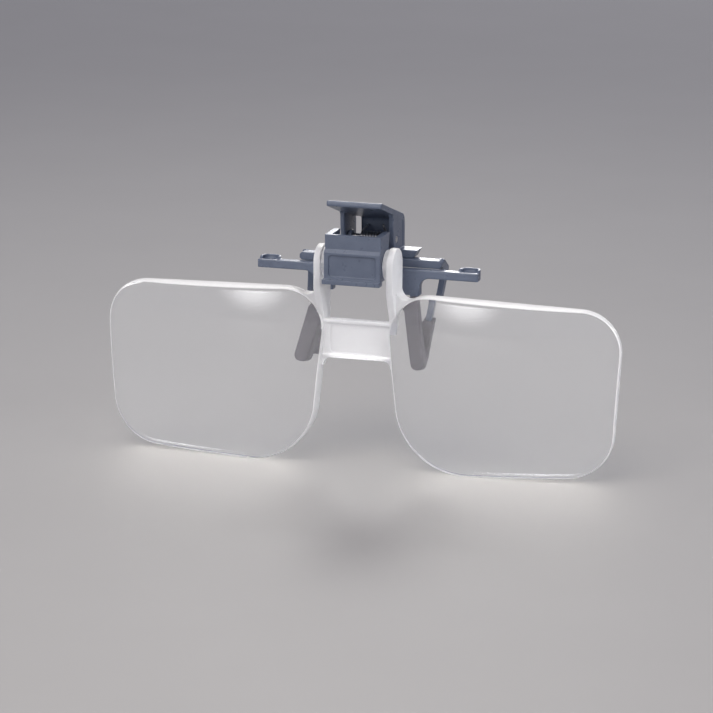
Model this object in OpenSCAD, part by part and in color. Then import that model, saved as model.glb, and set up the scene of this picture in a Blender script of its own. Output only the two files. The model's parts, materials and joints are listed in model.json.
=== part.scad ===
// Clip-on flip-up binocular magnifier for spectacles.
// +Z is up, +Y points to the wearer's face, X runs across. The unit stands on its lens edges.

/* [Lenses] */
// Half of the distance between the two lenses
lens_gap_half = 7.2; // [6.8:0.1:8]
// Inward shift of a lens's optical centre
lens_decentre = 2.3; // [1:0.1:2.8]
// Width of one lens
lens_w = 49.9; // [46:0.1:54]
// Height of one lens, before its foot is cut flat
lens_h = 38.3; // [36:0.1:41]
// Thickness of a lens at its optical centre
lens_t = 5.8; // [5.7:0.1:6]
// Radius of the front surface of a lens
lens_curve_r = 105; // [104:1:120]
// Backward sweep of each lens, in degrees
lens_sweep = 2.1; // [1:0.1:3]
// Corner radius, top and inner
corner_top_inner = 8.8; // [8:0.1:10]
// Corner radius, top and outer
corner_top_outer = 8.9; // [8:0.1:10]
// Corner radius, bottom and outer
corner_low_outer = 10.2; // [9:0.1:11]
// Corner radius, bottom and inner
corner_low_inner = 14.9; // [13:0.1:16]
// Fall of the top edge towards the outer end
top_fall = 1.0; // [0:0.1:1.5]
// Rise of the bottom edge towards the outer end
bottom_rise = 0.9; // [0:0.1:1.5]
// Outward lean of the inner edge at its foot
inner_lean = 1.6; // [0:0.1:2]
// Inward lean of the outer edge at its foot
outer_lean = 1.1; // [0:0.1:1.5]
// Depth of the flat that each lens stands on
foot_cut = 0.1; // [0.05:0.05:0.2]

/* [Bridge and arms] */
// Height of the bridge's lower edge above the floor
bridge_low_z = 23.5; // [22:0.1:24]
// Height of the bridge plate
bridge_h = 8.4; // [7:0.1:9]
// Thickness of the bridge plate
bridge_t = 1.8; // [1.4:0.1:2]
// Height of the raised rims along the bridge
bridge_rim_h = 0.7; // [0.5:0.1:1]
// Thickness of an arm across X
arm_t = 1.6; // [1.4:0.1:1.8]
// Depth of an arm along Y
arm_d = 7.5; // [7:0.1:8]
// Height of the flip axis
flip_z = 44.3; // [44:0.1:45]
// Radius of a trunnion
trunnion_r = 1.5; // [1.3:0.05:1.6]
// Radius of the round boss inside each arm
arm_boss_r = 3.3; // [3:0.1:3.5]

/* [Housing] */
// Width of the housing block
housing_w = 12.4; // [12:0.1:12.6]
// Height of the housing block
housing_h = 9.7; // [9.4:0.1:9.9]
// Height of the housing's underside
housing_low_z = 41.2; // [41:0.1:41.4]
// Thickness of the side walls
side_wall = 1.4; // [1.2:0.1:1.5]
// Thickness of the front wall
front_wall = 1.6; // [1.4:0.1:1.8]
// Set-back of the upper third of the front
upper_set_back = 0.7; // [0.4:0.1:0.9]
// Depth of the blank panel's recess
panel_recess = 0.3; // [0.2:0.05:0.5]

/* [Front jaw] */
// Length of the front bar
front_bar_w = 49.2; // [46:0.2:51]
// Height of the front bar
front_bar_h = 1.8; // [1.6:0.1:2]
// Depth of the front bar
front_bar_d = 2.0; // [1.6:0.1:2]
// Length of a hook tab along the bar
hook_w = 4.6; // [4:0.1:5]
// Reach of a hook tab behind the bar's front face
hook_d = 3.8; // [3.2:0.1:4]
// Height of a hook tab's rim
hook_rim_h = 0.5; // [0.2:0.1:0.6]
// Splay of the front legs, in degrees
front_splay = 11.5; // [10:0.5:13]

/* [Lever and rear jaw] */
// Width of the press lever
lever_w = 12.1; // [11.8:0.1:12.2]
// Thickness of the press plate
lever_t = 1.3; // [1.2:0.1:1.5]
// Slope of the press plate, in degrees
lever_slope = 18.6; // [17:0.2:20]
// Height of the press plate's front edge
lever_top_z = 58.2; // [58:0.1:59]
// Length of the rear bar
rear_bar_w = 31.8; // [31:0.1:32.5]
// Depth of the rear bar
rear_bar_d = 2.6; // [2.4:0.1:2.8]
// Height of the rear bar
rear_bar_h = 1.75; // [1.6:0.05:1.8]
// Inward tilt of the rear legs, in degrees
rear_tilt = 5.4; // [4.6:0.2:6.2]

/* [Pin, spring and rubber] */
// Radius of the pivot pin
pin_r = 0.75; // [0.6:0.05:0.8]
// Diameter of the spring wire
wire_d = 0.5; // [0.4:0.05:0.55]
// Turns of the spring
spring_turns = 8; // [7:1:9]
// Width of a front pad across its leg
front_pad_w = 3.1; // [3:0.1:3.3]
// Width of a rear pad across its leg
rear_pad_w = 2.3; // [2.1:0.1:2.5]

/* [Hidden] */
$fn = 48;

clear_colour = [0.93, 0.95, 0.97, 0.35];
plastic_colour = [0.42, 0.47, 0.56];
rubber_colour = [0.38, 0.36, 0.40];
steel_colour = [0.75, 0.76, 0.78];
run_gap = 0.06;

// All depths are counted from the lenses' mid-plane, then moved so that the whole object is centred.
housing_front_y = -4.4;
lip_out = 1.0;
front_y = housing_front_y - lip_out;
rear_wall_t = 1.2;
wall_back_y = 14.4;
leg_bow_y = 14.5;
rear_leg_d = 2.1;
back_y = leg_bow_y + rear_leg_d / 2;
mid_y = (front_y + back_y) / 2;

// Lenses
lens_back_y = 1.1;
lens_centre_u = lens_w / 2 - lens_decentre;
lens_centre_z = lens_h / 2;
corner_steps = 16;
corners = [
    [corner_top_inner, lens_h - corner_top_inner, corner_top_inner],
    [lens_w - corner_top_outer, lens_h - top_fall - corner_top_outer, corner_top_outer],
    [lens_w - outer_lean - corner_low_outer, bottom_rise + corner_low_outer, corner_low_outer],
    [inner_lean + corner_low_inner, corner_low_inner, corner_low_inner]
];

// Arms
arm_in_x = lens_gap_half;
arm_out_x = arm_in_x + arm_t;
arm_top_r = arm_d / 2;
arm_taper_z = 39;
arm_rear_y = 3.3;
arm_rear_z = 31.2;
arm_foot_z = 26;
web_front_y = -1.2;
web_end_x = 13.4;
web_fillet_r = 2.2;
bridge_top_z = bridge_low_z + bridge_h;
core_hole_r = 0.5;
bridge_back_y = 0.9;
bridge_front_y = bridge_back_y - bridge_t;
bridge_reach_x = lens_gap_half + 0.5;
rim_out = 0.3;
low_fillet_r = 1.7;
field_depth = 0.2;
field_margin = 1.2;

// Housing
housing_x = housing_w / 2;
housing_top_z = housing_low_z + housing_h;
inner_x = housing_x - side_wall;
set_back_z = housing_low_z + 6;
set_back_slope_h = 0.6;
side_top_back_y = 2.8;
side_low_back_y = 5.9;
side_step_z = 46.2;
lip_h = 1.0;
lip_w = housing_w + 0.4;
lip_low_z = housing_low_z - 0.7;
panel_w = 10.4;
panel_h = 4.6;
panel_low_z = housing_low_z + 0.8;
panel_corner_r = 0.7;
ring_seat_depth = 0.7;
ring_tube_r = 0.35;
ring_seat_r = trunnion_r + run_gap + 2 * ring_tube_r;

// Front jaw
bar_front_y = 6.2;
bar_low_z = 40.4;
bar_top_z = bar_low_z + front_bar_h;
bar_back_y = bar_front_y + front_bar_d;

carrier_w = 2 * (inner_x - run_gap);
carrier_low_z = housing_low_z + 0.2;
carrier_top_z = 44.6;
carrier_front_y = housing_front_y + front_wall;
pivot_y = 8.8;
pivot_z = 48;
lug_in_x = 3.9;
lug_t = 0.9;
lug_r = 1.5;
root_in_x = 7.6;
root_out_x = 11.7;
root_low_z = 36.6;
root_fillet_r = 2.2;
hook_corner_r = 1.8;
hook_wall = 0.6;
hook_mouth_d = hook_wall + 0.9;
dish_depth = 0.3;
front_leg_x = 10.1;
front_leg_top_z = 38.4;
front_leg_lean = 13.6;
front_core_w = 1.5;
front_core_d = 1.7;
front_pad_d = 2.9;
front_pad_top = 2.2;
front_pad_len = 15.6;
front_pad_r = 1.4;
front_core_len = 15.4;

// Lever
lever_x = lever_w / 2;
lever_front_y = -3.0;
bend_r = 2.2;
rib_out_x = 5.9;
rib_t = 1.0;
rib_in_x = rib_out_x - rib_t;
rib_front_y = 6.0;
rib_back_y = 13;
rib_end_r = 2.3;
rear_wall_low_z = 43.2;
rear_wall_front_y = wall_back_y - rear_wall_t;
plate_run = wall_back_y - lever_front_y;
flare_r = 1.6;
window_w = 1.5;
window_low_z = 46.4;
window_h = 5.6;
window_r = 0.6;
wing_w_top = 20.4;
wing_w_low = 18.6;
wing_front_y = 9.6;
wing_top_z = 45.6;
nose_r = 0.55;

// Rear jaw
rear_bar_y = 8.6;
rear_bar_low_z = 42.1;
rear_bar_top_z = rear_bar_low_z + rear_bar_h;
rear_bar_chamfer = 0.5;
rear_leg_x = 15.1;
rear_leg_w = 1.2;
rear_tip = [7.0, 23.3];
rear_path = [[11.0, 42.9], [leg_bow_y, 40.9], [13.0, 36.6], rear_tip];
rear_pad_top_z = 30.2;
rear_pad_grow = 0.45;
rear_core_gap = 0.8;

// Spring
coil_r = pin_r + run_gap + 0.15 + wire_d / 2;
coil_pitch = wire_d + 0.12;
coil_len = spring_turns * coil_pitch;
coil_mid_x = 0.75;
spring_leg = 4.6;
wire_sides = 8;
steps_per_turn = 16;
coil_from = 100;
coil_sweep = 360 * spring_turns - 60;
coil_steps = steps_per_turn * spring_turns;

// ---------- helpers ----------

function arc(c, r, from, to, n = 12) =
    [for (i = [0:n]) let (a = from + (to - from) * i / n) [c[0] + r * cos(a), c[1] + r * sin(a)]];

// Direction of the outer normal of the tangent from circle a to circle b, each [x, y, r], taken clockwise.
function tangent_angle(a, b) =
    let (d = [b[0] - a[0], b[1] - a[1]])
    atan2(d[1], d[0]) + acos((a[2] - b[2]) / norm(d));

// Rounds circle i of a clockwise ring, from the tangent that comes in to the one that leaves.
function corner_arc(ring, i) =
    let (
        n = len(ring),
        come = tangent_angle(ring[(i + n - 1) % n], ring[i]),
        leave = tangent_angle(ring[i], ring[(i + 1) % n]),
        turn = (come - leave + 720) % 360
    )
    arc(ring[i], ring[i][2], come, come - turn, corner_steps);

module rounded_outline(ring) {
    polygon([for (i = [0:len(ring) - 1]) each corner_arc(ring, i)]);
}

// A flat shape drawn in X and Z, standing from y down to y - t.
module upright(y, t) {
    translate([0, y, 0]) rotate([90, 0, 0]) linear_extrude(t) children();
}

// A flat shape drawn in Y and Z, standing from x to x + t.
module across(x, t) {
    translate([x, 0, 0]) rotate([90, 0, 90]) linear_extrude(t) children();
}

module x_rod(r, x, len, y, z) {
    translate([x, y, z]) rotate([0, 90, 0]) cylinder(r = r, h = len);
}

module rounded_rect(size, r) {
    translate([r, 0]) square([size[0] - 2 * r, size[1]]);
    translate([0, r]) square([size[0], size[1] - 2 * r]);
    for (x = [r, size[0] - r], z = [r, size[1] - r]) translate([x, z]) circle(r);
}

module both_sides() {
    children();
    mirror([1, 0, 0]) children();
}

module centred() {
    translate([0, -mid_y, 0]) children();
}

// ---------- lens unit ----------

module lens_blank() {
    translate([lens_gap_half, 0, -foot_cut]) rotate([0, 0, lens_sweep]) intersection() {
        upright(lens_back_y, lens_t) rounded_outline(corners);
        translate([lens_centre_u, lens_back_y - lens_t + lens_curve_r, lens_centre_z])
            sphere(lens_curve_r, $fn = 200);
    }
}

module lens() {
    difference() {
        lens_blank();
        translate([0, -20, -5]) cube([70, 40, 5]);
    }
}

// Seen from the side: round at the flip axis, then narrowing to the lens's thickness at its foot.
module arm_profile() {
    half = arm_d / 2;
    translate([0, flip_z]) circle(arm_top_r);
    polygon([
        [-half, flip_z], [-half, arm_taper_z], [bridge_front_y, bridge_top_z], [bridge_front_y, arm_foot_z],
        [bridge_back_y, arm_foot_z], [bridge_back_y, arm_rear_z - 2.4],
        [arm_rear_y, arm_rear_z], [half, flip_z]
    ]);
}

module arm() {
    boss_x = housing_x + 0.1;
    trunnion_x = inner_x - 0.5;
    difference() {
        union() {
            across(arm_in_x, arm_t) arm_profile();
            x_rod(arm_boss_r, boss_x, arm_in_x - boss_x + 0.1, 0, flip_z);
            x_rod(trunnion_r, trunnion_x, arm_in_x - trunnion_x + 0.1, 0, flip_z);
        }
        x_rod(core_hole_r, trunnion_x - 0.5, arm_in_x - trunnion_x + 0.5, 0, flip_z);
    }
}

// Fills the corner between an arm and its lens. It is as deep as the arm there and thins out along the lens.
module web() {
    lens_mid = [lens_gap_half + corners[0][0], corners[0][1] - foot_cut];
    reach = corners[0][2] + web_fillet_r;
    fillet_x = arm_out_x + web_fillet_r;
    fillet_z = lens_mid[1] + sqrt(pow(reach, 2) - pow(lens_mid[0] - fillet_x, 2));
    root_x = arm_in_x + 0.2;
    tangent = lens_mid + corners[0][2] / reach * ([fillet_x, fillet_z] - lens_mid);
    intersection() {
        upright(arm_rear_y, arm_rear_y - web_front_y) difference() {
            polygon([[root_x, arm_foot_z + 2], lens_mid, tangent, [fillet_x, fillet_z], [root_x, fillet_z]]);
            translate([fillet_x, fillet_z]) circle(web_fillet_r);
            translate(lens_mid) circle(corners[0][2] - 0.8);
        }
        linear_extrude(lens_h + 5) polygon([
            [root_x, web_front_y], [web_end_x, web_front_y], [web_end_x, lens_back_y - 0.2],
            [arm_out_x, arm_rear_y], [root_x, arm_rear_y]
        ]);
    }
}

// Plate between the two lenses, with a raised rim along its top and foot and a shallow frosted field.
module bridge() {
    field_w = 2 * (lens_gap_half - field_margin);
    difference() {
        translate([-bridge_reach_x, bridge_front_y, bridge_low_z])
            cube([2 * bridge_reach_x, bridge_t, bridge_h]);
        upright(bridge_front_y + field_depth, field_depth + 1)
            translate([-field_w / 2, bridge_low_z + field_margin])
                rounded_rect([field_w, bridge_h - 2 * field_margin], 0.8);
    }
    for (z = [bridge_low_z, bridge_top_z - bridge_rim_h])
        translate([-bridge_reach_x, bridge_front_y - rim_out, z])
            cube([2 * bridge_reach_x, bridge_t + rim_out, bridge_rim_h]);
    both_sides() low_fillet();
}

// Rounds the corner below the bridge, where it meets a lens.
module low_fillet() {
    mid = [lens_gap_half + inner_lean / 5 - low_fillet_r, bridge_low_z - low_fillet_r];
    upright(bridge_back_y, bridge_t) difference() {
        translate(mid) square([low_fillet_r + 0.5, low_fillet_r + 0.3]);
        translate(mid) circle(low_fillet_r);
    }
}

module lens_unit() {
    color(clear_colour) centred() {
        both_sides() {
            lens();
            arm();
            web();
        }
        bridge();
    }
}

// ---------- housing ----------

module housing_side_profile() {
    polygon([
        [housing_front_y, housing_low_z], [side_low_back_y, housing_low_z],
        [side_low_back_y, side_step_z - 1], [side_low_back_y - 1.6, side_step_z],
        [side_top_back_y - 0.8, side_step_z + 1.2], [side_top_back_y, housing_top_z],
        [housing_front_y + upper_set_back, housing_top_z],
        [housing_front_y + upper_set_back, set_back_z + set_back_slope_h],
        [housing_front_y, set_back_z]
    ]);
}

module hinge_housing() {
    color(plastic_colour) centred() difference() {
        union() {
            across(-housing_x, housing_w) housing_side_profile();
            translate([-lip_w / 2, front_y, lip_low_z])
                cube([lip_w, lip_out + 1, lip_h]);
        }
        translate([-inner_x, housing_front_y + front_wall, housing_low_z - 1])
            cube([2 * inner_x, 20, housing_h + 5]);
        upright(housing_front_y + panel_recess, panel_recess + 1)
            translate([-panel_w / 2, panel_low_z]) rounded_rect([panel_w, panel_h], panel_corner_r);
        both_sides() {
            x_rod(trunnion_r + run_gap, inner_x - 1, side_wall + 2, 0, flip_z);
            x_rod(ring_seat_r, housing_x - ring_seat_depth, 1, 0, flip_z);
        }
    }
}

module friction_ring() {
    color(rubber_colour) centred()
        translate([housing_x - ring_seat_depth + ring_tube_r, 0, flip_z]) rotate([0, 90, 0])
            rotate_extrude() translate([ring_seat_r - ring_tube_r, 0]) circle(ring_tube_r, $fn = 24);
}

module friction_ring_right() {
    friction_ring();
}

module friction_ring_left() {
    mirror([1, 0, 0]) friction_ring();
}

// ---------- front jaw ----------

// Tab at an end of the bar, which sits on the spectacle rim. Its rim stands above the bar.
module hook_tab() {
    translate([front_bar_w / 2 - hook_w, bar_front_y, bar_low_z]) linear_extrude(front_bar_h + hook_rim_h)
        rounded_rect([hook_w, hook_d], hook_corner_r);
}

// Shallow dish in a tab, and the step that brings the tab's front down to the bar.
module hook_dish() {
    in_x = front_bar_w / 2 - hook_w;
    translate([in_x + hook_wall, bar_front_y + hook_wall, bar_top_z - dish_depth]) linear_extrude(2)
        rounded_rect([hook_w - 2 * hook_wall, hook_d - 2 * hook_wall], hook_corner_r - hook_wall);
    translate([in_x - 1, bar_front_y - 1, bar_top_z]) cube([hook_w + 2, 1 + hook_mouth_d, 2]);
}

module leg_root() {
    upright(bar_back_y, front_bar_d) difference() {
        translate([root_in_x, root_low_z])
            square([root_out_x - root_in_x + root_fillet_r, bar_low_z - root_low_z + 0.2]);
        translate([root_out_x + root_fillet_r, bar_low_z - root_fillet_r]) circle(root_fillet_r);
        translate([root_out_x, root_low_z - 1])
            square([root_fillet_r + 1, bar_low_z - root_fillet_r - root_low_z + 1]);
    }
}

// Places its child on a front leg: the leg runs down from the origin, splayed and leaning forward.
module on_front_leg() {
    translate([front_leg_x, bar_front_y + front_bar_d / 2, front_leg_top_z])
        rotate([-front_leg_lean, -front_splay, 0]) children();
}

module front_leg_core() {
    on_front_leg() translate([-front_core_w / 2, -front_core_d / 2, -front_core_len])
        cube([front_core_w, front_core_d, front_core_len + 0.4]);
}

module lug_profile() {
    translate([pivot_y, pivot_z]) circle(lug_r);
    polygon([
        [pivot_y - lug_r, pivot_z], [pivot_y + lug_r, pivot_z],
        [bar_back_y, carrier_top_z], [bar_back_y, carrier_low_z], [bar_front_y - 2, carrier_low_z],
        [bar_front_y - 2, carrier_top_z]
    ]);
}

module front_jaw() {
    color(plastic_colour) centred() difference() {
        union() {
            translate([-front_bar_w / 2, bar_front_y, bar_low_z])
                cube([front_bar_w, front_bar_d, front_bar_h]);
            translate([-carrier_w / 2, carrier_front_y, carrier_low_z])
                cube([carrier_w, bar_back_y - carrier_front_y, bar_top_z - carrier_low_z]);
            translate([-lug_in_x - lug_t, bar_front_y - 2, carrier_low_z])
                cube([2 * (lug_in_x + lug_t), bar_back_y - bar_front_y + 2, carrier_top_z - carrier_low_z]);
            both_sides() {
                across(lug_in_x, lug_t) lug_profile();
                hook_tab();
                leg_root();
                front_leg_core();
            }
        }
        x_rod(pin_r, -10, 20, pivot_y, pivot_z);
        both_sides() hook_dish();
    }
}

module front_pad() {
    color(rubber_colour) centred() difference() {
        on_front_leg() upright(front_pad_d / 2, front_pad_d)
            translate([-front_pad_w / 2, -front_pad_top - front_pad_len])
                rounded_rect([front_pad_w, front_pad_len], front_pad_r);
        front_leg_core();
    }
}

module front_pad_right() {
    front_pad();
}

module front_pad_left() {
    mirror([1, 0, 0]) front_pad();
}

// ---------- press lever ----------

// Height of the press plate's top face at depth y.
function plate_z(y) = lever_top_z - (y - lever_front_y) * tan(lever_slope);

module lever_profile() {
    run = plate_run - bend_r * tan((90 - lever_slope) / 2);
    bend_mid = [wall_back_y - bend_r, plate_z(lever_front_y + run) - bend_r * cos(lever_slope)];
    inner_r = bend_r - lever_t;
    nose_mid = [lever_front_y + nose_r, plate_z(lever_front_y + nose_r) - nose_r / cos(lever_slope)];
    polygon(concat(
        [[lever_front_y, plate_z(lever_front_y) - lever_t]],
        arc(nose_mid, nose_r, 180, 90 - lever_slope),
        arc(bend_mid, bend_r, 90 - lever_slope, 0),
        [[wall_back_y, rear_wall_low_z], [rear_wall_front_y, rear_wall_low_z]],
        arc(bend_mid, inner_r, 0, 90 - lever_slope)
    ));
}

// A rib joins the press plate, the rear wall and the pivot, with a concave flare under the plate.
module rib_profile() {
    low = pivot_z - rib_end_r;
    back = rib_back_y + 0.6;
    front_top_z = plate_z(rib_front_y) - 0.6;
    flare_z = front_top_z - flare_r;
    translate([pivot_y, pivot_z]) circle(rib_end_r);
    polygon([
        [pivot_y - rib_end_r, pivot_z], [rib_front_y, housing_top_z + 0.3], [rib_front_y, front_top_z],
        [back, plate_z(back) - 0.6], [back, low], [pivot_y, low]
    ]);
    difference() {
        polygon([
            [rib_front_y - flare_r, flare_z], [rib_front_y - flare_r, plate_z(rib_front_y - flare_r) - 0.6],
            [rib_front_y + 0.5, plate_z(rib_front_y + 0.5) - 0.6], [rib_front_y + 0.5, flare_z]
        ]);
        translate([rib_front_y - flare_r, flare_z]) circle(flare_r);
    }
}

// Shelf across the foot of the rear wall; the rear jaw's bar is fixed under it.
module wing() {
    upright(rear_wall_front_y + 0.2, rear_wall_front_y + 0.2 - wing_front_y) polygon([
        [-wing_w_top / 2, wing_top_z], [wing_w_top / 2, wing_top_z],
        [wing_w_low / 2, rear_bar_top_z], [-wing_w_low / 2, rear_bar_top_z]
    ]);
}

module press_lever() {
    color(plastic_colour) centred() difference() {
        union() {
            across(-lever_x, lever_w) lever_profile();
            both_sides() across(rib_in_x, rib_t) rib_profile();
            wing();
        }
        both_sides() upright(wall_back_y + 1, rear_wall_t + 2)
            translate([rib_in_x - window_w, window_low_z]) rounded_rect([window_w, window_h], window_r);
        x_rod(pin_r + run_gap, -10, 20, pivot_y, pivot_z);
    }
}

// ---------- rear jaw ----------

module rear_bar() {
    half = rear_bar_w / 2;
    c = rear_bar_chamfer;
    upright(rear_bar_y + rear_bar_d, rear_bar_d) polygon([
        [-half, rear_bar_low_z + c], [-half, rear_bar_top_z - c], [-half + c, rear_bar_top_z],
        [half - c, rear_bar_top_z], [half, rear_bar_top_z - c], [half, rear_bar_low_z + c],
        [half - c, rear_bar_low_z], [-half + c, rear_bar_low_z]
    ]);
}

// Strip of width 2 * half along a path, with round ends and bends.
module strip(path, half) {
    for (i = [0:len(path) - 2]) {
        run = path[i + 1] - path[i];
        translate(path[i]) rotate(atan2(run[1], run[0])) translate([0, -half]) square([norm(run), 2 * half]);
    }
    for (p = path) translate(p) circle(half);
}

module on_rear_leg() {
    translate([rear_leg_x, 0, rear_bar_low_z]) rotate([0, rear_tilt, 0])
        translate([0, 0, -rear_bar_low_z]) children();
}

// The leg leaves the back of the bar, bows round the spectacle rim and runs down to its pad.
module rear_leg() {
    shorten = rear_core_gap * (rear_path[2] - rear_tip) / norm(rear_path[2] - rear_tip);
    core = [rear_path[0], rear_path[1], rear_path[2], rear_tip + shorten];
    on_rear_leg() across(-rear_leg_w / 2, rear_leg_w) strip(core, rear_leg_d / 2);
}

module rear_jaw() {
    color(plastic_colour) centred() {
        rear_bar();
        both_sides() rear_leg();
    }
}

module rear_pad() {
    share = (rear_pad_top_z - rear_tip[1]) / (rear_path[2][1] - rear_tip[1]);
    top = rear_tip + share * (rear_path[2] - rear_tip);
    color(rubber_colour) centred() difference() {
        on_rear_leg() across(-rear_pad_w / 2, rear_pad_w) difference() {
            strip([top, rear_tip], rear_leg_d / 2 + rear_pad_grow);
            translate([0, rear_pad_top_z]) square(30);
        }
        rear_leg();
    }
}

module rear_pad_right() {
    rear_pad();
}

module rear_pad_left() {
    mirror([1, 0, 0]) rear_pad();
}

// ---------- pin and spring ----------

module pivot_pin() {
    color(steel_colour) centred() x_rod(pin_r, -rib_out_x, 2 * rib_out_x, pivot_y, pivot_z);
}

// Centre line of the spring: a straight leg, the coils about the pin and another straight leg.
function coil_point(i) =
    let (a = coil_from + coil_sweep * i / coil_steps)
    [coil_mid_x + coil_len * (i / coil_steps - 0.5), pivot_y + coil_r * cos(a), pivot_z + coil_r * sin(a)];
function coil_heading(a) = [0, -sin(a), cos(a)];
spring_start = coil_point(0) - spring_leg * coil_heading(coil_from) * 0.9;
spring_end = coil_point(coil_steps) + spring_leg * coil_heading(coil_from + coil_sweep) * 0.7;
spring_path = concat([spring_start], [for (i = [0:coil_steps]) coil_point(i)], [spring_end]);

function unit(v) = v / norm(v);
function path_heading(p, i) = unit(p[min(i + 1, len(p) - 1)] - p[max(i - 1, 0)]);
function wire_ring(p, i) =
    let (
        t = path_heading(p, i),
        side = unit(cross(t, [1, 0, 0])),
        up = cross(side, t)
    )
    [for (k = [0:wire_sides - 1]) let (a = 360 * k / wire_sides)
        p[i] + wire_d / 2 * (cos(a) * side + sin(a) * up)];

module torsion_spring() {
    n = len(spring_path);
    points = [for (i = [0:n - 1]) each wire_ring(spring_path, i)];
    walls = [
        for (i = [0:n - 2], k = [0:wire_sides - 1])
            let (k2 = (k + 1) % wire_sides)
            [i * wire_sides + k, i * wire_sides + k2, (i + 1) * wire_sides + k2, (i + 1) * wire_sides + k]
    ];
    start_cap = [[for (k = [wire_sides - 1:-1:0]) k]];
    end_cap = [[for (k = [0:wire_sides - 1]) (n - 1) * wire_sides + k]];
    color(steel_colour) centred() polyhedron(points, concat(walls, start_cap, end_cap));
}

lens_unit();
hinge_housing();
front_jaw();
press_lever();
rear_jaw();
pivot_pin();
torsion_spring();
friction_ring_left();
friction_ring_right();
front_pad_left();
front_pad_right();
rear_pad_left();
rear_pad_right();
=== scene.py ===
# Looks of the clip-on binocular magnifier, built round its CAD frame. Lengths are in millimetres, along the
# frame's axes: X across the lenses, -Y to the front, Z up. The studio's places and sizes are in metres.

import json
import math

import bmesh
import bpy
from mathutils import Matrix, Vector


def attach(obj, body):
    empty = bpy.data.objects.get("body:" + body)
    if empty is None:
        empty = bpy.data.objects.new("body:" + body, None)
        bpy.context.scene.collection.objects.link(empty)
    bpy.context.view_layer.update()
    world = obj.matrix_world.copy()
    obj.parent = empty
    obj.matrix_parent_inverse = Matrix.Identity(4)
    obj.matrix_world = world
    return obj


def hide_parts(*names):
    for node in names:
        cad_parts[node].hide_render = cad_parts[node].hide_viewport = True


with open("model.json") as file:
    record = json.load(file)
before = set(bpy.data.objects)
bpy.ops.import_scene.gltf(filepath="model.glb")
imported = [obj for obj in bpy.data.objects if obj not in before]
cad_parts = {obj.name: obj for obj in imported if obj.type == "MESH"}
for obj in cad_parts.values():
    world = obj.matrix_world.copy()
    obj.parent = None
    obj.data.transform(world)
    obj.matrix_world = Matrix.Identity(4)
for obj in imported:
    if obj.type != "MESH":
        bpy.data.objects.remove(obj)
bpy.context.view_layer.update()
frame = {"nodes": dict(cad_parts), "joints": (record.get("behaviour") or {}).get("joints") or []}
MM = 0.001
JOINTS = {joint["name"]: joint for joint in frame["joints"]}
FLIP = Vector(JOINTS["lens_flip"]["pos_m"]) / MM
PIVOT = Vector(JOINTS["clip_open"]["pos_m"]) / MM
MID_Y = FLIP.y          # the middle of the arms and the bridge


# ---------- camera ----------

CAMERA_AZIMUTH, CAMERA_ELEVATION = math.radians(17.48), math.radians(14.28)
CAMERA_DISTANCE, CAMERA_LENS, SENSOR_W = 767.8, 181.8, 36
AIM_Z = 21.38
SHIFT_RIGHT, SHIFT_UP = -0.32, 2.43     # the camera's slide from the line through its aim


def add_camera():
    """A long lens to the right of the front and a little above, as in the photograph."""
    azimuth, elevation = CAMERA_AZIMUTH, CAMERA_ELEVATION
    right = Vector((math.cos(azimuth), math.sin(azimuth), 0))
    ahead = Vector((-math.sin(azimuth) * math.cos(elevation), math.cos(azimuth) * math.cos(elevation),
                    -math.sin(elevation)))
    up = right.cross(ahead)
    aim = Vector((0, MID_Y, AIM_Z))
    place = aim - CAMERA_DISTANCE * ahead + SHIFT_RIGHT * right + SHIFT_UP * up
    data = bpy.data.cameras.new("camera")
    data.lens, data.sensor_width = CAMERA_LENS, SENSOR_W
    data.clip_start, data.clip_end = 0.01, 50
    camera = bpy.data.objects.new("camera", data)
    camera.matrix_world = Matrix.Translation(place * MM) @ Matrix(
        (right, up, -ahead)).transposed().to_4x4()
    bpy.context.scene.collection.objects.link(camera)
    bpy.context.scene.camera = camera


# ---------- mesh helpers ----------

def new_object(name, bm):
    """A mesh object from a bmesh in millimetres; the bmesh is freed."""
    bmesh.ops.recalc_face_normals(bm, faces=bm.faces)
    bmesh.ops.scale(bm, vec=(MM, MM, MM), verts=bm.verts)
    mesh = bpy.data.meshes.new(name)
    bm.to_mesh(mesh)
    bm.free()
    piece = bpy.data.objects.new(name, mesh)
    bpy.context.scene.collection.objects.link(piece)
    return piece


def only(piece):
    """Makes piece the one that the next operator works on."""
    bpy.ops.object.select_all(action="DESELECT")
    piece.select_set(True)
    bpy.context.view_layer.objects.active = piece


def apply_modifiers(piece):
    """Turns the piece's modifiers into real geometry."""
    only(piece)
    for modifier in list(piece.modifiers):
        bpy.ops.object.modifier_apply(modifier=modifier.name)


def smooth(piece, degrees=38):
    """Shades the piece smooth, with a crease where its faces turn by more than the angle."""
    only(piece)
    bpy.ops.object.shade_smooth_by_angle(angle=math.radians(degrees))


SHARP = math.radians(32)        # an edge that turns by more is rounded


def bevel(piece, width, limit="ANGLE"):
    """Rounds the piece's sharp edges, or only its weighted ones when the limit is WEIGHT."""
    modifier = piece.modifiers.new("round", "BEVEL")
    modifier.width, modifier.segments = width * MM, 3
    modifier.limit_method, modifier.angle_limit = limit, SHARP
    modifier.use_clamp_overlap = False
    apply_modifiers(piece)


def combine(piece, other, operation="UNION"):
    """Exact boolean of two closed meshes; other is used up."""
    modifier = piece.modifiers.new("join", "BOOLEAN")
    modifier.operation, modifier.solver, modifier.object = operation, "EXACT", other
    apply_modifiers(piece)
    bpy.data.objects.remove(other)
    return piece


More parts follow.
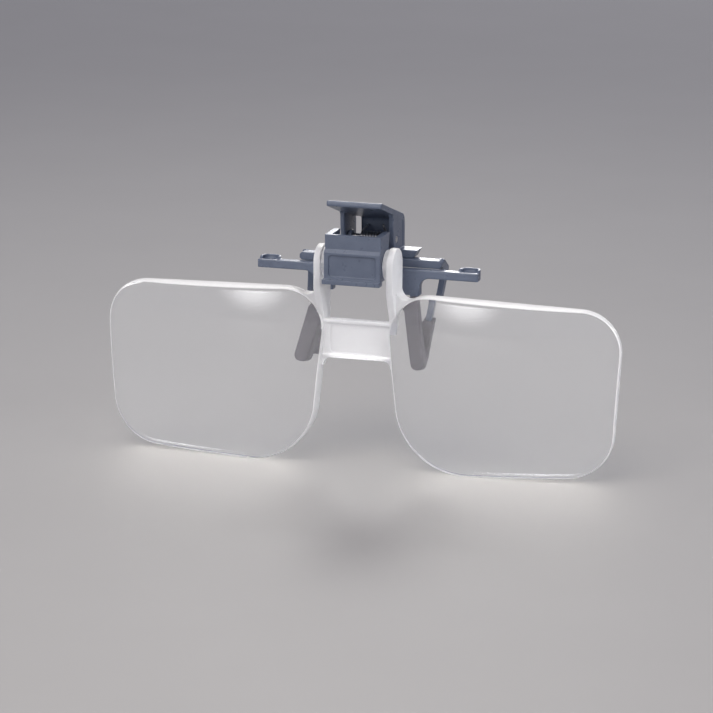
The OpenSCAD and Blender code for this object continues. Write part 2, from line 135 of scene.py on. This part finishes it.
def prism(outline, low, high, axis="X"):
    """A closed bmesh: an outline extruded along an axis. Its points hold the other two coordinates."""
    place = {"X": lambda p, d: (d, p[0], p[1]), "Y": lambda p, d: (p[0], d, p[1]),
             "Z": lambda p, d: (p[0], p[1], d)}[axis]
    bm = bmesh.new()
    ends = [[bm.verts.new(place(p, d)) for p in outline] for d in (low, high)]
    for ring in ends:
        bm.faces.new(ring)
    count = len(outline)
    for i in range(count):
        j = (i + 1) % count
        bm.faces.new((ends[0][i], ends[0][j], ends[1][j], ends[1][i]))
    return bm


def stitch(bm, rings, count):
    """Joins closed rings of vertices in order; a ring of one vertex is a tip."""
    for one, two in zip(rings, rings[1:]):
        for k in range(count):
            m = (k + 1) % count
            corners = [one[k % len(one)], one[m % len(one)], two[m % len(two)], two[k % len(two)]]
            bm.faces.new(list(dict.fromkeys(corners)))


def lathe(profile, y, z, sides=64):
    """A closed bmesh turned about a line along X. The profile is x, radius, from the axis back to it."""
    bm = bmesh.new()
    turns = [2 * math.pi * k / sides for k in range(sides)]
    rings = []
    for x, radius in profile:
        ring = [(x, y + radius * math.cos(a), z + radius * math.sin(a)) for a in turns]
        rings.append([bm.verts.new(p) for p in (ring if radius > 0 else ring[:1])])
    stitch(bm, rings, sides)
    return bm


def sided(bm, left):
    """The bmesh itself for the right side, or its mirror image for the left."""
    if left:
        bmesh.ops.scale(bm, vec=(-1, 1, 1), verts=bm.verts)
        bmesh.ops.reverse_faces(bm, faces=bm.faces)
    return bm


def arc(x, y, radius, first, last, steps):
    """Points along a circle, between two angles in degrees."""
    angles = [math.radians(first + (last - first) * k / steps) for k in range(steps + 1)]
    return [(x + radius * math.cos(a), y + radius * math.sin(a)) for a in angles]


# ---------- lens unit ----------

GAP_HALF = 7.2                  # from the middle to a lens's inner edge
LENS_W, LENS_H, LENS_T = 49.9, 38.3, 5.8
LENS_CURVE = 105                # radius of the front surface
LENS_SWEEP = math.radians(2.1)
LENS_BACK = 1.1                 # the flat back, behind MID_Y
FOOT_CUT = 0.1
OPTIC_U, OPTIC_Z = LENS_W / 2 - 2.3, LENS_H / 2
TOP_INNER_R, TOP_OUTER_R, LOW_OUTER_R, LOW_INNER_R = 8.8, 8.9, 10.2, 14.9
TOP_FALL, BOTTOM_RISE, INNER_LEAN, OUTER_LEAN = 1.0, 0.9, 1.6, 1.1
CORNERS = [(TOP_INNER_R, LENS_H - TOP_INNER_R, TOP_INNER_R),
           (LENS_W - TOP_OUTER_R, LENS_H - TOP_FALL - TOP_OUTER_R, TOP_OUTER_R),
           (LENS_W - OUTER_LEAN - LOW_OUTER_R, BOTTOM_RISE + LOW_OUTER_R, LOW_OUTER_R),
           (INNER_LEAN + LOW_INNER_R, LOW_INNER_R, LOW_INNER_R)]
ARM_T, ARM_HALF = 1.6, 3.75
ARM_OUT = GAP_HALF + ARM_T
ARM_REAR_Y, ARM_REAR_Z, ARM_REAR_RISE = 3.3, 31.2, 2.4
ARM_TAPER_Z, ARM_FOOT_Z = 39.0, 26.0
BRIDGE_LOW, BRIDGE_TOP, BRIDGE_HALF_T = 23.5, 31.9, 0.9
HOUSING_X = 6.2


def tangent_angle(one, two):
    """Direction of the outer normal of the line that touches both circles, taken clockwise."""
    dx, dz = two[0] - one[0], two[1] - one[1]
    return math.atan2(dz, dx) + math.acos((one[2] - two[2]) / math.hypot(dx, dz))


def lens_outline(inset, corner_steps=22, side_steps=20):
    """Points of the lens's edge, moved inwards by inset; the same number at any inset."""
    points = []
    for i, circle in enumerate(CORNERS):
        after = CORNERS[(i + 1) % 4]
        come, leave = tangent_angle(CORNERS[i - 1], circle), tangent_angle(circle, after)
        turn = (come - leave) % (2 * math.pi)
        radius = circle[2] - inset
        for k in range(corner_steps + 1):
            a = come - turn * k / corner_steps
            points.append((circle[0] + radius * math.cos(a), circle[1] + radius * math.sin(a)))
        last = points[-1]
        reach = after[2] - inset
        ahead = (after[0] + reach * math.cos(leave), after[1] + reach * math.sin(leave))
        for k in range(1, side_steps):
            share = k / side_steps
            points.append((last[0] + share * (ahead[0] - last[0]), last[1] + share * (ahead[1] - last[1])))
    return points


def front_depth(u, z):
    """Depth of the lens's front surface at u across and z up."""
    reach = (u - OPTIC_U) ** 2 + (z - OPTIC_Z) ** 2
    return LENS_BACK - LENS_T + LENS_CURVE - math.sqrt(LENS_CURVE ** 2 - reach)


def lens_mesh(edge_r=0.3, edge_steps=4, rings=26):
    """One lens: a spherical front, a flat back and rounded edges, as rings round the optical centre."""
    rim = lens_outline(edge_r)
    discs = []
    for k in range(rings + 1):
        share = k / rings
        discs.append([(OPTIC_U + share * (u - OPTIC_U), OPTIC_Z + share * (z - OPTIC_Z)) for u, z in rim])
    turns = [math.pi / 2 * k / edge_steps for k in range(edge_steps + 1)]
    edges = [(lens_outline(edge_r * (1 - math.sin(a))), edge_r * (1 - math.cos(a))) for a in turns]
    front_edge = [front_depth(u, z) for u, z in lens_outline(0)]
    levels = [[(u, front_depth(u, z), z) for u, z in disc] for disc in discs]
    levels += [[(u, y + drop, z) for (u, z), y in zip(row, front_edge)] for row, drop in edges[1:]]
    levels += [[(u, LENS_BACK - drop, z) for u, z in row] for row, drop in reversed(edges)]
    levels += [[(u, LENS_BACK, z) for u, z in disc] for disc in reversed(discs[:-1])]
    levels[0] = levels[0][:1]
    levels[-1] = levels[-1][:1]
    bm = bmesh.new()
    stitch(bm, [[bm.verts.new(p) for p in level] for level in levels], len(rim))
    turn = Matrix.Rotation(LENS_SWEEP, 4, "Z")
    for v in bm.verts:
        v.co = turn @ v.co + Vector((GAP_HALF, MID_Y, -FOOT_CUT))
        v.co.z = max(v.co.z, 0)
    return bm


def arm_mesh():
    """An upright arm: a round head at the flip axis, tapering in front down to the bridge."""
    side = [(-ARM_HALF, ARM_TAPER_Z), (-BRIDGE_HALF_T, BRIDGE_TOP), (-BRIDGE_HALF_T, ARM_FOOT_Z),
            (BRIDGE_HALF_T, ARM_FOOT_Z), (BRIDGE_HALF_T, ARM_REAR_Z - ARM_REAR_RISE),
            (ARM_REAR_Y, ARM_REAR_Z)]
    side += arc(0, FLIP.z, ARM_HALF, 0, 180, 40)
    return prism([(MID_Y + y, z) for y, z in side], GAP_HALF, ARM_OUT)


def trunnion_mesh():
    """The round boss beside the housing and the hollow stub that turns in it, as one solid."""
    hole_r, stub_r, boss_r = 0.5, 1.5, 3.3
    stub_end, chamfer = 4.3, 0.15
    seat, round_r, round_mid = HOUSING_X + 0.1, 0.25, 0.07
    root = GAP_HALF + 0.3
    profile = [(GAP_HALF, 0), (GAP_HALF, hole_r), (stub_end, hole_r), (stub_end, stub_r - chamfer),
               (stub_end + chamfer, stub_r), (seat, stub_r), (seat, boss_r - round_r),
               (seat + round_mid, boss_r - round_mid), (seat + round_r, boss_r), (root, boss_r), (root, 0)]
    return lathe(profile, MID_Y, FLIP.z)


def web_piece(name, left):
    """Fills the corner between an arm and its lens, as deep as the arm and thinning out along the lens."""
    fillet_r, bite, front, inset = 2.2, 0.9, 1.2, 0.05
    root_x, end_x, low_z = GAP_HALF + 0.2, 13.4, ARM_REAR_Z
    mid_x, mid_z = GAP_HALF + TOP_INNER_R, CORNERS[0][1] - FOOT_CUT
    fillet_x = ARM_OUT + fillet_r
    rise = math.sqrt((TOP_INNER_R + fillet_r) ** 2 - (mid_x - fillet_x) ** 2)
    fillet_z = mid_z + rise
    touch = math.degrees(math.atan2(rise, fillet_x - mid_x))
    # The arc inside the lens's corner ends on its left, at the height of the web's foot.
    foot = 180 - math.degrees(math.asin((low_z - mid_z) / (TOP_INNER_R - bite)))
    outline = arc(fillet_x, fillet_z, fillet_r, 180, 180 + touch, 12)
    outline += arc(mid_x, mid_z, TOP_INNER_R - bite, touch, foot, 14)
    outline += [(root_x, low_z), (root_x, fillet_z)]
    wall = prism(outline, MID_Y - front, MID_Y + ARM_REAR_Y, "Y")
    spare, flare, rear = 0.8, 2.0, MID_Y + ARM_REAR_Y - inset
    plan = [(root_x - spare, MID_Y - front - spare), (end_x + flare, MID_Y - front - spare),
            (end_x, MID_Y + BRIDGE_HALF_T), (ARM_OUT, rear), (root_x - spare, rear)]
    wedge = prism(plan, low_z - spare, fillet_z + spare, "Z")
    wall, wedge = new_object(name, sided(wall, left)), new_object(name + "_cut", sided(wedge, left))
    return combine(wall, wedge, "INTERSECT")


def bridge_piece():
    """The plate between the lenses, with its rims, its recessed field and rounded lower corners."""
    reach, rim_h, rim_out, rim_slope = GAP_HALF + 0.5, 0.7, 0.3, 0.25
    front, back = MID_Y - BRIDGE_HALF_T, MID_Y + BRIDGE_HALF_T
    rim = front - rim_out
    side = [(rim, BRIDGE_LOW), (back, BRIDGE_LOW), (back, BRIDGE_TOP), (rim, BRIDGE_TOP),
            (rim, BRIDGE_TOP - rim_h), (front, BRIDGE_TOP - rim_h - rim_slope),
            (front, BRIDGE_LOW + rim_h + rim_slope), (rim, BRIDGE_LOW + rim_h)]
    plate = new_object("bridge", prism(side, -reach, reach))
    bevel(plate, 0.18)
    margin, field_r, field_depth = 1.2, 0.8, 0.2
    mid_z, half_h = (BRIDGE_LOW + BRIDGE_TOP) / 2, (BRIDGE_TOP - BRIDGE_LOW) / 2
    x, z = GAP_HALF - margin - field_r, half_h - margin - field_r
    field = []
    for across, up, first in ((x, z, 90), (x, -z, 0), (-x, -z, -90), (-x, z, 180)):
        field += arc(across, mid_z + up, field_r, first, first - 90, 8)
    cutter = prism(field, front - 2 * rim_out, front + field_depth, "Y")
    combine(plate, new_object("field", cutter), "DIFFERENCE")
    fillet_r, fillet_side, overlap, inset = 1.7, GAP_HALF + 0.32, 0.5, 0.02
    x, low_z, high_z = fillet_side - fillet_r, BRIDGE_LOW - fillet_r, BRIDGE_LOW + 0.3
    corner = arc(x, low_z, fillet_r, 90, 0, 14)
    corner += [(fillet_side + overlap, low_z), (fillet_side + overlap, high_z), (x, high_z)]
    for left in (False, True):
        fillet = prism(corner, front, back - inset, "Y")
        combine(plate, new_object("low_corner", sided(fillet, left)))
    return plate


def lens_unit():
    """The clear moulding as one closed mesh: bridge, arms with their trunnions, webs and lenses."""
    unit = bridge_piece()
    for left in (False, True):
        arm = new_object("arm", sided(arm_mesh(), left))
        bevel(arm, 0.25)
        combine(unit, arm)
        combine(unit, new_object("trunnion", sided(trunnion_mesh(), left)))
        combine(unit, web_piece("web", left))
        combine(unit, new_object("lens", sided(lens_mesh(), left)))
    unit.name = unit.data.name = "clear_lens_unit"
    smooth(unit, 30)
    return unit


def frost(unit, clear, satin):
    """Puts the clear finish on the lenses' two faces and the satin one on everything else."""
    unit.data.materials.append(clear)
    unit.data.materials.append(satin)
    turn = Matrix.Rotation(-LENS_SWEEP, 4, "Z")
    near, facing = 0.04, 0.9
    for face in unit.data.polygons:
        centre = face.center / MM
        u, y, z = turn @ Vector((abs(centre.x) - GAP_HALF, centre.y - MID_Y, centre.z + FOOT_CUT))
        on_lens = u > 0 and min(abs(y - front_depth(u, z)), abs(y - LENS_BACK)) < near
        face.material_index = 0 if on_lens and abs(face.normal.y) > facing else 1


# ---------- plastic, rubber and steel pieces ----------

WELD = 0.002                    # closer vertices are merged
FLAT = math.radians(0.6)        # faces that turn by less are made one


def copied(node, name):
    """A copy of a CAD node's mesh, free to be worked on, with its sharp edges weighted for a bevel."""
    piece = bpy.data.objects.new(name, frame["nodes"][node].data.copy())
    piece.data.name = name
    bpy.context.scene.collection.objects.link(piece)
    piece.data.materials.clear()
    if piece.data.has_custom_normals:
        only(piece)
        bpy.ops.mesh.customdata_custom_splitnormals_clear()
    bm = bmesh.new()
    bm.from_mesh(piece.data)
    bmesh.ops.remove_doubles(bm, verts=bm.verts, dist=WELD * MM)
    bmesh.ops.dissolve_limit(bm, angle_limit=FLAT, verts=bm.verts, edges=bm.edges,
                             use_dissolve_boundaries=False)
    weight = bm.edges.layers.float.new("bevel_weight_edge")
    for edge in bm.edges:
        edge[weight] = 1.0 if edge.calc_face_angle(0) > SHARP else 0.0
    bmesh.ops.triangulate(bm, faces=bm.faces)
    bm.to_mesh(piece.data)
    bm.free()
    return piece


def moulded(node, name, edge=0.14):
    """The CAD part with rounded edges of an even width and flat faces that stay flat."""
    piece = copied(node, name)
    bevel(piece, edge, "WEIGHT")
    smooth(piece)
    modifier = piece.modifiers.new("flat_faces", "WEIGHTED_NORMAL")
    modifier.keep_sharp = True
    apply_modifiers(piece)
    return piece


def softened(node, name, cell=0.15, passes=2):
    """The CAD part with every corner softened evenly, for rubber and for plastic with openings."""
    piece = copied(node, name)
    remesh = piece.modifiers.new("cells", "REMESH")
    remesh.mode, remesh.voxel_size = "VOXEL", cell * MM
    soften = piece.modifiers.new("soften", "SMOOTH")
    soften.factor, soften.iterations = 0.5, passes
    apply_modifiers(piece)
    only(piece)
    bpy.ops.object.shade_smooth()
    return piece


def wire(name, points, radius, sides=12):
    """A closed round wire along points, in millimetres."""
    bm = bmesh.new()
    rings = []
    for i, point in enumerate(points):
        heading = (points[min(i + 1, len(points) - 1)] - points[max(i - 1, 0)]).normalized()
        across = heading.cross(Vector((1, 0, 0))).normalized()
        up = across.cross(heading)
        turns = [2 * math.pi * k / sides for k in range(sides)]
        ring = [point + radius * (math.cos(a) * across + math.sin(a) * up) for a in turns]
        rings.append([bm.verts.new(p) for p in ring])
    for one, two in zip(rings, rings[1:]):
        for k in range(sides):
            bm.faces.new((one[k], one[(k + 1) % sides], two[(k + 1) % sides], two[k]))
    bm.faces.new(rings[0][::-1])
    bm.faces.new(rings[-1])
    piece = new_object(name, bm)
    smooth(piece, 50)
    return piece


def spring():
    """The torsion spring: a leg, close coils about the pivot pin, and a leg under the press plate."""
    turns, pitch, coil_r, wire_r, mid_x = 8, 0.62, 1.21, 0.25, 0.75
    leg_in, leg_out, leg_steps, steps_a_turn = 4.14, 3.22, 4, 28
    start, sweep, count = math.radians(100), math.radians(360 * turns - 60), steps_a_turn * turns
    points = []
    for i in range(count + 1):
        share = i / count
        a = start + sweep * share
        points.append(Vector((mid_x + turns * pitch * (share - 0.5), PIVOT.y + coil_r * math.cos(a),
                              PIVOT.z + coil_r * math.sin(a))))
    tangents = [Vector((0, -math.sin(a), math.cos(a))) for a in (start, start + sweep)]
    steps = range(1, leg_steps + 1)
    before = [points[0] - leg_in * tangents[0] * k / leg_steps for k in reversed(steps)]
    after = [points[-1] + leg_out * tangents[1] * k / leg_steps for k in steps]
    return wire("coil_spring", before + points + after, wire_r)


# ---------- materials ----------

def shader(name, **values):
    """A Principled material and its tree; each value is set directly on the shader's own socket."""
    material = bpy.data.materials.new(name)
    material.use_nodes = True
    tree = material.node_tree
    principled = next(n for n in tree.nodes if n.type == "BSDF_PRINCIPLED")
    for key, value in values.items():
        principled.inputs[key.replace("_", " ")].default_value = value
    return material, tree, principled


def noise(tree, scale, detail=3.0, roughness=0.55):
    """Noise in the piece's own space. The scale is in cells per metre."""
    place = tree.nodes.new("ShaderNodeTexCoord")
    node = tree.nodes.new("ShaderNodeTexNoise")
    node.inputs["Scale"].default_value = scale
    node.inputs["Detail"].default_value = detail
    node.inputs["Roughness"].default_value = roughness
    tree.links.new(place.outputs["Object"], node.inputs["Vector"])
    return node.outputs["Fac"]


def ramp(tree, factor, low, high, start=0.3, end=0.7):
    """Turns a factor into a run between two greys or colours."""
    node = tree.nodes.new("ShaderNodeValToRGB")
    for element, place, value in zip(node.color_ramp.elements, (start, end), (low, high)):
        element.position = place
        element.color = (*value, 1) if hasattr(value, "__len__") else (value, value, value, 1)
    tree.links.new(factor, node.inputs["Fac"])
    return node.outputs["Color"]


def bump(tree, principled, height, distance, strength=1.0):
    """Lets a height, up to a distance, tilt the surface."""
    node = tree.nodes.new("ShaderNodeBump")
    node.inputs["Distance"].default_value = distance * MM
    node.inputs["Strength"].default_value = strength
    tree.links.new(height, node.inputs["Height"])
    tree.links.new(node.outputs["Normal"], principled.inputs["Normal"])


def clear_acrylic():
    """Polished acrylic whose polish varies very slightly."""
    material, tree, principled = shader("clear_acrylic", Base_Color=(0.975, 0.98, 0.99, 1), IOR=1.49,
                                        Transmission_Weight=0.95)
    tree.links.new(ramp(tree, noise(tree, 160, 4), 0.0, 0.02), principled.inputs["Roughness"])
    bump(tree, principled, noise(tree, 60, 1), 0.0015)
    return material


def satin_acrylic():
    """The same acrylic with the frosted skin of the rims, arms and bridge."""
    material, tree, principled = shader("satin_acrylic", IOR=1.49, Transmission_Weight=0.7)
    tone = ramp(tree, noise(tree, 420, 3), (0.95, 0.95, 0.97), (0.99, 0.99, 1.0))
    tree.links.new(tone, principled.inputs["Base Color"])
    tree.links.new(ramp(tree, noise(tree, 700, 4), 0.34, 0.5), principled.inputs["Roughness"])
    return material


def moulded_plastic():
    """Blue-grey moulded plastic with a fine spark-eroded grain and slightly uneven colour."""
    material, tree, principled = shader("blue_grey_plastic", IOR=1.5)
    tone = ramp(tree, noise(tree, 350, 4), (0.125, 0.154, 0.222), (0.152, 0.185, 0.26))
    tree.links.new(tone, principled.inputs["Base Color"])
    tree.links.new(ramp(tree, noise(tree, 900, 3), 0.26, 0.37), principled.inputs["Roughness"])
    bump(tree, principled, noise(tree, 6500, 2), 0.012, 0.35)
    return material


def soft_rubber():
    """Purple-grey soft rubber, matt, with a dusty bloom."""
    material, tree, principled = shader("grey_rubber", IOR=1.45, Sheen_Weight=0.12, Sheen_Roughness=0.5)
    tone = ramp(tree, noise(tree, 700, 5), (0.1, 0.09, 0.112), (0.14, 0.127, 0.154))
    tree.links.new(tone, principled.inputs["Base Color"])
    tree.links.new(ramp(tree, noise(tree, 2200, 3), 0.55, 0.7), principled.inputs["Roughness"])
    bump(tree, principled, noise(tree, 9000, 2), 0.015, 0.7)
    return material


def bright_steel():
    """Spring steel with a finely uneven surface."""
    material, tree, principled = shader("spring_steel", Metallic=1.0)
    tone = ramp(tree, noise(tree, 1800, 4), (0.50, 0.50, 0.51), (0.68, 0.68, 0.69))
    tree.links.new(tone, principled.inputs["Base Color"])
    tree.links.new(ramp(tree, noise(tree, 5200, 2), 0.2, 0.36), principled.inputs["Roughness"])
    bump(tree, principled, noise(tree, 12000, 1), 0.004, 0.5)
    return material


def dress(piece, material, slot_name, body, *nodes):
    """Gives a finished piece its material when one is passed, hides its CAD nodes and hangs it on its body;
    slot_name is not used.
    """
    if material:
        piece.data.materials.append(material)
    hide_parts(*nodes)
    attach(piece, body)


# ---------- studio ----------

def add_floor():
    """A plain pale floor, just under the object so that the two never share a plane."""
    half_size, drop = 4.0, 0.00005
    bm = bmesh.new()
    bmesh.ops.create_grid(bm, x_segments=4, y_segments=4, size=half_size)
    mesh = bpy.data.meshes.new("floor")
    bm.to_mesh(mesh)
    bm.free()
    floor = bpy.data.objects.new("floor", mesh)
    floor.location.z = -drop
    bpy.context.scene.collection.objects.link(floor)
    material, tree, principled = shader("studio_floor", Roughness=0.55)
    tone = ramp(tree, noise(tree, 30, 3), (0.456, 0.449, 0.440), (0.466, 0.459, 0.450))
    tree.links.new(tone, principled.inputs["Base Color"])
    mesh.materials.append(material)


def area_light(name, place, aim, width, height, power, colour=(1, 1, 1)):
    """A rectangular light, in metres and watts, that faces its aim."""
    data = bpy.data.lights.new(name, "AREA")
    data.shape, data.size, data.size_y = "RECTANGLE", width, height
    data.energy, data.color = power, colour
    light = bpy.data.objects.new(name, data)
    light.location = place
    light.rotation_euler = (Vector(aim) - Vector(place)).to_track_quat("-Z", "Y").to_euler()
    bpy.context.scene.collection.objects.link(light)
    return light


def soft_glow(light, strength):
    """Makes a card's light fade smoothly from its middle to its edge."""
    light.data.use_nodes = True
    tree = light.data.node_tree
    emission = next(n for n in tree.nodes if n.type == "EMISSION")
    place = tree.nodes.new("ShaderNodeNewGeometry")
    centred = tree.nodes.new("ShaderNodeVectorMath")
    centred.operation = "SUBTRACT"
    centred.inputs[1].default_value = (0.5, 0.5, 0)
    reach = tree.nodes.new("ShaderNodeVectorMath")
    reach.operation = "LENGTH"
    fade = tree.nodes.new("ShaderNodeMapRange")
    fade.interpolation_type = "SMOOTHSTEP"
    for socket, value in (("From Min", 0.0), ("From Max", 0.5), ("To Min", strength), ("To Max", 0.0)):
        fade.inputs[socket].default_value = value
    tree.links.new(place.outputs["Parametric"], centred.inputs[0])
    tree.links.new(centred.outputs[0], reach.inputs[0])
    tree.links.new(reach.outputs["Value"], fade.inputs["Value"])
    tree.links.new(fade.outputs["Result"], emission.inputs["Strength"])


def group(name, pieces):
    """A collection that a light's linking can name."""
    collection = bpy.data.collections.new(name)
    for piece in pieces:
        collection.objects.link(piece)
    return collection


def add_back_lights(clear, clear_only):
    """Two lights behind: one shines through the clear unit, one throws the clip's shadow forward."""
    aim, spread = (0, -0.15, 0), math.radians(50)
    back = area_light("back_softbox", (-0.2, 0.62, 0.95), aim, 0.38, 0.34, 0.75, (1.0, 0.955, 0.89))
    back.data.spread = spread
    back.light_linking.receiver_collection = clear_only
    key = area_light("back_key", (-0.25, 0.80, 0.72), aim, 0.27, 0.24, 0.2, (1.0, 0.985, 0.955))
    key.data.spread = spread
    key.visible_transmission = False
    blockers = group("all_but_clear", [clear])
    blockers.collection_objects[0].light_linking.link_state = "EXCLUDE"
    key.light_linking.blocker_collection = blockers


def add_edge_lights(clear_only, plastics):
    """Lights that draw bright lines: on the clear rims from both sides, on the plastic from behind."""
    for name, x, power in (("right_edge_light", 0.6, 7.0), ("left_edge_light", -0.65, 4.5)):
        edge = area_light(name, (x, -0.28, 0.34), (0, 0, 0.03), 0.4, 0.3, power)
        edge.light_linking.receiver_collection = clear_only
        edge.visible_transmission = False
    rim = area_light("rim_light", (-0.15, 1.25, 0.42), (0, 0, 0.03), 0.5, 0.3, 5.5)
    rim.light_linking.receiver_collection = group("plastics_only", plastics)


def add_studio(clear, plastics):
    """Soft light from above in front, behind and beside, a card for the lenses to mirror, and a dim room."""
    clear_only = group("clear_only", [clear])
    add_back_lights(clear, clear_only)
    area_light("top_softbox", (-0.1, -0.58, 0.72), (0, -0.30, 0), 0.7, 0.6, 3.6, (1.0, 0.935, 0.85))
    area_light("top_strip", (-0.22, -0.20, 0.78), (0, 0, 0), 0.34, 0.14, 0.55, (1.0, 0.99, 0.97))
    area_light("side_softbox", (0.75, -0.25, 0.30), (0, 0, 0.03), 0.4, 0.35, 0.65, (0.98, 0.98, 1.0))
    add_edge_lights(clear_only, plastics)
    far = area_light("far_softbox", (0, 1.15, 0.65), (0, 0.95, 0), 0.9, 0.4, 0.9, (0.97, 0.97, 1.0))
    far.data.spread = math.radians(120)
    glow = 2.6
    card = area_light("glow_card", (-0.35, -1.22, 0.20), (0, 0, 0.03), 0.50, 0.36, glow)
    soft_glow(card, glow)
    world = bpy.data.worlds.new("studio")
    bpy.context.scene.world = world
    world.use_nodes = True
    background = world.node_tree.nodes["Background"]
    background.inputs["Color"].default_value = (0.57, 0.57, 0.685, 1)
    background.inputs["Strength"].default_value = 0.46


# ---------- the object ----------

add_camera()
plastic, rubber, steel = moulded_plastic(), soft_rubber(), bright_steel()

clear_unit = lens_unit()
frost(clear_unit, clear_acrylic(), satin_acrylic())
dress(clear_unit, None, "clear_acrylic", "lens", "lens_unit")
plastics = []
for node, name, body, shape in (("hinge_housing", "housing_block", "clip_front", moulded),
                                ("front_jaw", "front_bar_jaw", "clip_front", softened),
                                ("press_lever", "hood_lever", "lever", softened),
                                ("rear_jaw", "rear_bar_jaw", "lever", moulded)):
    plastics.append(shape(node, name))
    dress(plastics[-1], plastic, "blue_grey_plastic", body, node)

PAD_CELL, PAD_PASSES = 0.16, 14
for side in ("left", "right"):
    for end, body in (("front", "clip_front"), ("rear", "lever")):
        pad = softened(f"{end}_pad_{side}", f"{end}_rubber_{side}", PAD_CELL, PAD_PASSES)
        dress(pad, rubber, "grey_rubber", body, f"{end}_pad_{side}")
    ring = frame["nodes"]["friction_ring_" + side]
    ring.data.materials.clear()
    ring.data.materials.append(rubber)
dress(spring(), steel, "spring_steel", "clip_front", "torsion_spring")
dress(moulded("pivot_pin", "hinge_pin", 0.12), steel, "spring_steel", "clip_front", "pivot_pin")

add_floor()
add_studio(clear_unit, plastics)
bpy.context.scene.view_settings.view_transform = "Standard"
